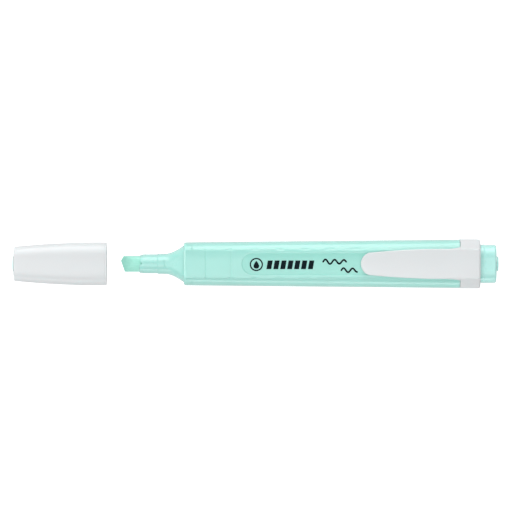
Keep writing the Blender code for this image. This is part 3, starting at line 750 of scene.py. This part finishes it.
def cap_section(depth_in, inset=0.0):
    """The cap's section at a distance from its mouth, smaller all round by inset."""
    bow = (1 - min(CAP_LENGTH - depth_in, CAP_TAPER_LENGTH) / CAP_TAPER_LENGTH) ** 2
    half = CAP_HALF - CAP_NARROWING * bow - inset
    flat = BODY_FLAT - CAP_THINNING * bow - inset
    return section(half, flat, 0.0, CAP_POWER, (), 34)


def make_cap_shell():
    """The cap as one tube: its outside from the end to the mouth, then its inside back to the end's hole."""
    def end_section(inset):
        return cap_section(CAP_LENGTH, inset)

    end = CAP_MOUTH - CAP_LENGTH
    rings = rounded(end + CAP_END_ROUND, end, CAP_END_ROUND, end_section, 6)[::-1]
    for depth_in in np.linspace(CAP_LENGTH - CAP_END_ROUND - 0.4, 1.0, 26):
        rings.append(at(CAP_MOUTH - depth_in, cap_section(depth_in)))
    for aside, inset in ((0.16, 0.0), (0.08, 0.03), (0.0, LIP_GROOVE), (-0.08, 0.03), (-0.16, 0.0)):
        rings.append(at(CAP_MOUTH - LIP_LINE - aside, cap_section(LIP_LINE + aside, inset)))
    mouth = CAP_MOUTH - CAP_MOUTH_ROUND
    rings += rounded(mouth, CAP_MOUTH, CAP_MOUTH_ROUND, lambda inset: cap_section(0.0, inset), 3)
    rings.append(at(CAP_MOUTH, cap_section(0.0, 0.5)))
    for depth_in, wall in (*CAP_WALLS, (CAP_LENGTH - CAP_END_WALL, 0.8)):
        rings.append(at(CAP_MOUTH - depth_in, cap_section(depth_in, wall)))
    hole = circle(CAP_END_HOLE, 34)
    land = section(LAND_HALF, LAND_FLAT, 0.0, 2.0, (), 34)
    rings += [at(end + CAP_END_WALL, hole), at(CAP_FRONT, hole)]
    rings += [at(CAP_FRONT, land * 0.975), at(CAP_FRONT + 0.06, land), at(end, land)]
    return skin("cap_outer", rings, through=True)


def make_cap_insert():
    """The inner cap: the disc in the cap's end, and the bore that seals the nib."""
    def disc(inset):
        return circle(DISC_RADIUS - inset, 24)

    rings = rounded(INSERT_FRONT + 0.1, INSERT_FRONT, 0.1, disc, 3)[::-1]
    turned = [(INSERT_SHOULDER, DISC_RADIUS), (INSERT_SHOULDER, INSERT_RADIUS)]
    turned += [(INSERT_MOUTH + 0.1, INSERT_RADIUS), (INSERT_MOUTH, INSERT_RADIUS - 0.1)]
    turned += [(INSERT_MOUTH, INSERT_BORE + 0.15), (INSERT_MOUTH + 0.6, INSERT_BORE)]
    turned.append((INSERT_FLOOR, INSERT_BORE))
    rings += [at(CAP_MOUTH - depth_in, circle(radius, 24)) for depth_in, radius in turned]
    return skin("cap_inner", rings)


# ---------------------------------------------------------------- printed marks

PRINT_HEIGHT = 0.02  # the ink stands this far out of the recess, and reaches as far into it
PRINT_Z = BODY_FLAT - LABEL_DEPTH
RING_CENTRE = np.array([23.9, -0.2])
RING_RADII = (2.18, 1.74)
DROP_HALF = 0.82
DROP_LENGTH = 1.25  # half of it
DROP_LEAN = 0.55  # makes the drop's foot fuller than its tip
DROP_Y = -0.1
BARS_START = 27.2
BARS = 7
BAR_PITCH = 2.28
BAR_WIDTH = 1.6
BAR_LEAN = 0.5
BAR_HALF = 1.42  # half a bar's height
BARS_Y = -0.3
WAVES = ((45.9, 7.6, 0.7, 0.8, 2.5), (51.9, 5.2, -2.1, 0.75, 1.75))  # start, length, y, half-height, count
WAVE_FADE = 0.25  # the share of its height that a wave loses on its way
WAVE_STROKE = 0.56


def ribbon(line, width):
    """The outline of a stroke of one width along a line, with round ends."""
    line = np.asarray(line, float)
    ahead = np.gradient(line, axis=0)
    ahead /= np.linalg.norm(ahead, axis=1, keepdims=True)
    aside = np.column_stack([-ahead[:, 1], ahead[:, 0]]) * width / 2
    turns = np.linspace(0, math.pi, 9)[1:-1]

    def round_end(centre, start):
        along = np.array([start[1], -start[0]])
        return [centre + start * math.cos(t) + along * math.sin(t) for t in turns]

    far_end, near_end = round_end(line[-1], aside[-1]), round_end(line[0], -aside[0])
    return np.concatenate([line + aside, far_end, (line - aside)[::-1], near_end])


def make_print():
    """Plain marks in place of lettering: a ring with a drop, a row of slanted bars and two loose waves."""
    points, faces = [], []

    def add_loop(loop, z):
        start = len(points)
        points.extend((x, y, z - PANEL_CROWN * y**4) for x, y in loop)
        return list(range(start, start + len(loop)))

    def stamp(outer, inner=None):
        """Raises the shape inside outer, with a hole inside inner where it is given."""
        low, high = PRINT_Z - PRINT_HEIGHT, PRINT_Z + PRINT_HEIGHT
        loops = [add_loop(outer, high), add_loop(outer, low)]
        n = len(outer)
        for i in range(n):
            k = (i + 1) % n
            faces.append((loops[1][i], loops[1][k], loops[0][k], loops[0][i]))
        if inner is None:
            faces.append(tuple(loops[0]))
            faces.append(tuple(loops[1][::-1]))
            return
        holes = [add_loop(inner, high), add_loop(inner, low)]
        for i in range(n):
            k = (i + 1) % n
            faces.append((loops[0][i], loops[0][k], holes[0][k], holes[0][i]))
            faces.append((loops[1][k], loops[1][i], holes[1][i], holes[1][k]))
            faces.append((holes[0][i], holes[0][k], holes[1][k], holes[1][i]))

    turn = np.linspace(0, 2 * math.pi, 64, endpoint=False)
    unit = np.column_stack([np.cos(turn), np.sin(turn)])
    stamp(RING_CENTRE + unit * RING_RADII[0], RING_CENTRE + unit * RING_RADII[1])
    drop_x = np.sin(turn) * (1 - DROP_LEAN * np.cos(turn)) * DROP_HALF
    drop = np.column_stack([drop_x, np.cos(turn) * DROP_LENGTH + DROP_Y])
    stamp(RING_CENTRE + drop[::-1])
    foot = np.array([(0.0, -BAR_HALF), (BAR_WIDTH, -BAR_HALF)])
    head = np.array([(BAR_WIDTH + BAR_LEAN, BAR_HALF), (BAR_LEAN, BAR_HALF)])
    for i in range(BARS):
        stamp(np.concatenate([foot, head]) + [BARS_START + i * BAR_PITCH, BARS_Y])
    share = np.linspace(0, 1, 60)
    for start, length, y, tall, waves in WAVES:
        height = tall * np.sin(share * waves * 2 * math.pi) * (1 - WAVE_FADE * share)
        stamp(ribbon(np.column_stack([start + length * share, y + height]), WAVE_STROKE)[::-1])
    return finish_mesh("print_marks", points, faces)


# ---------------------------------------------------------------- materials


def new_material(name):
    made = bpy.data.materials.new(name)
    made.use_nodes = True
    nodes, links = made.node_tree.nodes, made.node_tree.links
    return made, nodes, links, nodes["Principled BSDF"]


def noise_at(nodes, links, scale, detail=2.0, stretch=(1.0, 1.0, 1.0)):
    """A noise texture in the piece's own space, in metres."""
    coordinates = nodes.new("ShaderNodeTexCoord")
    mapping = nodes.new("ShaderNodeMapping")
    mapping.inputs["Scale"].default_value = stretch
    noise = nodes.new("ShaderNodeTexNoise")
    noise.inputs["Scale"].default_value = scale
    noise.inputs["Detail"].default_value = detail
    links.new(coordinates.outputs["Object"], mapping.inputs["Vector"])
    links.new(mapping.outputs["Vector"], noise.inputs["Vector"])
    return noise.outputs["Fac"]


def spread(nodes, links, source, low, high):
    """A noise's middle range as numbers from low to high."""
    scaled = nodes.new("ShaderNodeMapRange")
    scaled.inputs["From Min"].default_value = 0.3
    scaled.inputs["From Max"].default_value = 0.7
    scaled.inputs["To Min"].default_value = low
    scaled.inputs["To Max"].default_value = high
    links.new(source, scaled.inputs["Value"])
    return scaled.outputs["Result"]


def tint(nodes, links, share, first, second):
    """The colour that is share of the way from the first to the second."""
    mixed = nodes.new("ShaderNodeMix")
    mixed.data_type = "RGBA"
    mixed.inputs["A"].default_value = (*first, 1.0)
    mixed.inputs["B"].default_value = (*second, 1.0)
    links.new(share, mixed.inputs["Factor"])
    return mixed.outputs["Result"]


def emboss(nodes, links, shader, source, strength, height):
    """Raises the surface where source is high, by up to height in metres."""
    bump = nodes.new("ShaderNodeBump")
    bump.inputs["Strength"].default_value = strength
    bump.inputs["Distance"].default_value = height
    links.new(source, bump.inputs["Height"])
    links.new(bump.outputs["Normal"], shader.inputs["Normal"])


def plastic(name, colour, roughness, scatter, specular, coat=0.0, metallic=0.0):
    """A moulded plastic with faint flow marks, a fine mould grain and an uneven polish."""
    made, nodes, links, shader = new_material(name)
    flow = noise_at(nodes, links, 60.0, 1.0, (0.35, 1.0, 1.0))
    deep = tuple(channel * 0.965 for channel in colour)
    pale = tuple(min(channel * 1.02, 1.0) for channel in colour)
    marked = tint(nodes, links, spread(nodes, links, flow, 0.0, 1.0), deep, pale)
    links.new(marked, shader.inputs["Base Color"])
    polish = noise_at(nodes, links, 350.0, 4.0)
    uneven = spread(nodes, links, polish, roughness - 0.015, roughness + 0.015)
    links.new(uneven, shader.inputs["Roughness"])
    emboss(nodes, links, shader, noise_at(nodes, links, 5200.0, 2.0), 0.35, 0.00001)
    shader.inputs["IOR"].default_value = 1.5
    shader.inputs["Subsurface Weight"].default_value = scatter
    shader.inputs["Subsurface Radius"].default_value = (0.6, 1.0, 1.0)
    shader.inputs["Subsurface Scale"].default_value = 0.0015
    shader.inputs["Specular IOR Level"].default_value = specular
    shader.inputs["Metallic"].default_value = metallic
    shader.inputs["Coat Weight"].default_value = coat
    shader.inputs["Coat Roughness"].default_value = 0.16
    return made


def fibre(name, colour, dark):
    """Pressed fibre: fine strands along the pen, soaked unevenly."""
    made, nodes, links, shader = new_material(name)
    strands = noise_at(nodes, links, 2600.0, 4.0, (0.12, 1.0, 1.0))
    soaked = noise_at(nodes, links, 420.0, 3.0)
    mixed = nodes.new("ShaderNodeMath")
    mixed.operation = "MULTIPLY"
    links.new(spread(nodes, links, strands, 0.35, 1.0), mixed.inputs[0])
    links.new(spread(nodes, links, soaked, 0.6, 1.0), mixed.inputs[1])
    links.new(tint(nodes, links, mixed.outputs["Value"], dark, colour), shader.inputs["Base Color"])
    emboss(nodes, links, shader, strands, 0.6, 0.00004)
    shader.inputs["Roughness"].default_value = 0.5
    shader.inputs["Coat Weight"].default_value = 0.4
    shader.inputs["Coat Roughness"].default_value = 0.35
    return made


def film(name):
    """Thin film, drawn tight and a little crinkled."""
    made, nodes, links, shader = new_material(name)
    crinkle = noise_at(nodes, links, 500.0, 3.0, (0.3, 1.0, 1.0))
    colour = tint(nodes, links, crinkle, (0.80, 0.90, 0.88), (0.90, 0.95, 0.94))
    links.new(colour, shader.inputs["Base Color"])
    emboss(nodes, links, shader, crinkle, 0.4, 0.00003)
    shader.inputs["Roughness"].default_value = 0.2
    return made


def ink(name):
    """Dark matt ink, laid a little unevenly."""
    made, nodes, links, shader = new_material(name)
    patchy = noise_at(nodes, links, 900.0, 2.0)
    colour = tint(nodes, links, patchy, (0.001, 0.006, 0.009), (0.004, 0.014, 0.017))
    links.new(colour, shader.inputs["Base Color"])
    shader.inputs["Roughness"].default_value = 0.6
    shader.inputs["Specular IOR Level"].default_value = 0.08
    return made


# ---------------------------------------------------------------- assembly

TURQUOISE = (0.37, 0.74, 0.665)
PEARL = (0.705, 0.73, 0.74)
GLOSSY = {"scatter": 0.3, "specular": 0.3, "coat": 1.0}
PEARLY = {"roughness": 0.32, "scatter": 0.15, "specular": 0.25, "metallic": 0.05}

barrel_plastic = plastic("barrel_turquoise", TURQUOISE, 0.3, **GLOSSY)
# The print recess: a smoother finish, and a darker turquoise that is painted shade in the recess
field_painted_shade_plastic = plastic("print_field_turquoise_painted_shade", (0.315, 0.705, 0.62), 0.22, **GLOSSY)
section_plastic = plastic("section_turquoise", (0.38, 0.75, 0.68), 0.28, **GLOSSY)
# The tail plug: a paler turquoise, painted light that offsets the shade the clip band casts on it
plug_plastic = plastic("plug_turquoise_painted_light", (0.46, 0.83, 0.775), 0.28, **GLOSSY)
insert_plastic = plastic("insert_turquoise", TURQUOISE, 0.3, **GLOSSY)
clip_plastic = plastic("clip_pearl", PEARL, **PEARLY)
cap_plastic = plastic("cap_pearl", PEARL, **PEARLY)
nib_fibre = fibre("nib_fibre", (0.38, 0.80, 0.68), (0.27, 0.70, 0.57))
core_fibre = fibre("core_fibre", (0.45, 0.82, 0.70), (0.30, 0.70, 0.56))

barrel = make_barrel()
barrel.data.materials.append(barrel_plastic)
barrel.data.materials.append(field_painted_shade_plastic)
# Faces over the print recess take its darker plastic, which is painted shade
for face in barrel.data.polygons:
    in_front = face.center.z > AXIS_Z and face.normal.z > 0.9
    if in_front and label_share(station(face.center.x), face.center.y / MM) > 0.5:
        face.material_index = 1
front_section = make_front_section()
nib = make_nib()
end_plug = make_end_plug()
clip = make_clip()
cap_shell = make_cap_shell()
cap_insert = make_cap_insert()
marks = make_print()

for piece, material, body, slot, nodes in (
    (barrel, None, "pen", "barrel_plastic", ["barrel"]),
    (front_section, section_plastic, "pen", "section_plastic", ["front_section"]),
    (nib, nib_fibre, "pen", "nib_fibre", ["nib"]),
    (end_plug, plug_plastic, "pen", "plug_plastic", ["end_plug"]),
    (clip, clip_plastic, None, "clip_plastic", ["clip_band", "clip_arm"]),
    (cap_shell, cap_plastic, "cap", "cap_plastic", ["cap_shell"]),
    (cap_insert, insert_plastic, "cap", "insert_plastic", ["cap_insert"]),
    (marks, ink("print_ink"), "pen", "barrel_plastic", []),
):
    if material is not None:
        piece.data.materials.append(material)
    if body is not None:
        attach(piece, body)
    if nodes:
        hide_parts(*nodes)
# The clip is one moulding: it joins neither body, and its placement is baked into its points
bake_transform(clip)

for name, material in (("reservoir_core", core_fibre), ("reservoir_film", film("reservoir_film_clear"))):
    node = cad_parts[name]
    node.data.materials.clear()
    node.data.materials.append(material)

# ---------------------------------------------------------------- studio

FRAME_WIDTH = 0.16906  # metres of the pen's own plane that the picture spans
VIEW_CENTRE = (0.00016, 0.0026)
LENS = 500.0  # long, for a view with next to no perspective
SENSOR = 36.0
FLOOR_HALF = 3.0
FLOOR_GAP = 0.0002

camera_data = bpy.data.cameras.new("camera")
camera_data.lens = LENS
camera_data.sensor_width = SENSOR
camera_data.clip_start = 0.01
camera_data.clip_end = 10.0
camera = bpy.data.objects.new("camera", camera_data)
camera.location = (*VIEW_CENTRE, AXIS_Z + FRAME_WIDTH * LENS / SENSOR)
bpy.context.scene.collection.objects.link(camera)
bpy.context.scene.camera = camera

floor_mesh = bpy.data.meshes.new("floor")
corners = [(x * FLOOR_HALF, y * FLOOR_HALF, 0.0) for x, y in ((-1, -1), (1, -1), (1, 1), (-1, 1))]
floor_mesh.from_pydata(corners, [], [(0, 1, 2, 3)])
floor = bpy.data.objects.new("floor", floor_mesh)
floor.location.z = -FLOOR_GAP
bpy.context.scene.collection.objects.link(floor)
floor.visible_diffuse = False  # the sweep is lit to white, but throws nothing back on the pen
floor.visible_glossy = False
paper, _, _, shader = new_material("white_sweep")
shader.inputs["Base Color"].default_value = (0.7, 0.7, 0.7, 1.0)
shader.inputs["Roughness"].default_value = 0.9
shader.inputs["Emission Color"].default_value = (1.0, 1.0, 1.0, 1.0)
shader.inputs["Emission Strength"].default_value = 0.7
floor.data.materials.append(paper)


def softbox(name, tilt, aside, reach, size, radiance):
    """A rectangular soft light at a distance of reach, of a size in metres.

    tilt leans it from overhead towards +Y, and aside leans it towards +X, in degrees.
    """
    data = bpy.data.lights.new(name, "AREA")
    data.shape = "RECTANGLE"
    data.size, data.size_y = size
    data.energy = radiance * math.pi * size[0] * size[1]
    lamp = bpy.data.objects.new(name, data)
    lean, turn = math.radians(tilt), math.radians(aside)
    away = Vector((math.sin(turn), math.cos(turn) * math.sin(lean), math.cos(turn) * math.cos(lean)))
    across = Vector((0.0, -math.cos(lean), math.sin(lean)))
    side = across.cross(away).normalized()
    axes = Matrix((side, away.cross(side), away)).transposed()
    lamp.matrix_world = Matrix.Translation(away * reach) @ axes.to_4x4()
    bpy.context.scene.collection.objects.link(lamp)


softbox("key_window", 60.0, 0.0, 1.2, (1.2, 1.3), 1.75)
softbox("key_core", 66.0, 0.0, 1.1, (0.8, 0.6), 1.4)
softbox("overhead", -16.0, 0.0, 1.2, (1.6, 0.78), 1.5)
softbox("fill_window", -77.0, 0.0, 1.2, (1.4, 0.5), 2.3)
softbox("left_window", 10.0, -66.0, 1.2, (0.5, 0.8), 3.6)

TENT_LOW = (0.72, 0.75)  # the tent's strength below the pen, at -Y and at +Y
TENT_HIGH = 0.34

# A soft tent, paler below the pen than above it, and a little paler on the key's side
world = bpy.data.worlds.new("studio")
world.use_nodes = True
nodes, links = world.node_tree.nodes, world.node_tree.links
direction = nodes.new("ShaderNodeTexCoord")
height = nodes.new("ShaderNodeSeparateXYZ")
links.new(direction.outputs["Generated"], height.inputs["Vector"])
low = nodes.new("ShaderNodeMapRange")
low.inputs["From Min"].default_value = -0.9
low.inputs["From Max"].default_value = 0.9
low.inputs["To Min"].default_value = TENT_LOW[0]
low.inputs["To Max"].default_value = TENT_LOW[1]
links.new(height.outputs["Y"], low.inputs["Value"])
level = nodes.new("ShaderNodeMapRange")
level.interpolation_type = "SMOOTHSTEP"
level.inputs["From Min"].default_value = -0.15
level.inputs["From Max"].default_value = 0.2
level.inputs["To Max"].default_value = TENT_HIGH
links.new(low.outputs["Result"], level.inputs["To Min"])
links.new(height.outputs["Z"], level.inputs["Value"])
links.new(level.outputs["Result"], nodes["Background"].inputs["Strength"])
nodes["Background"].inputs["Color"].default_value = (1.0, 1.0, 1.0, 1.0)
bpy.context.scene.world = world
bpy.context.scene.view_settings.view_transform = "Standard"
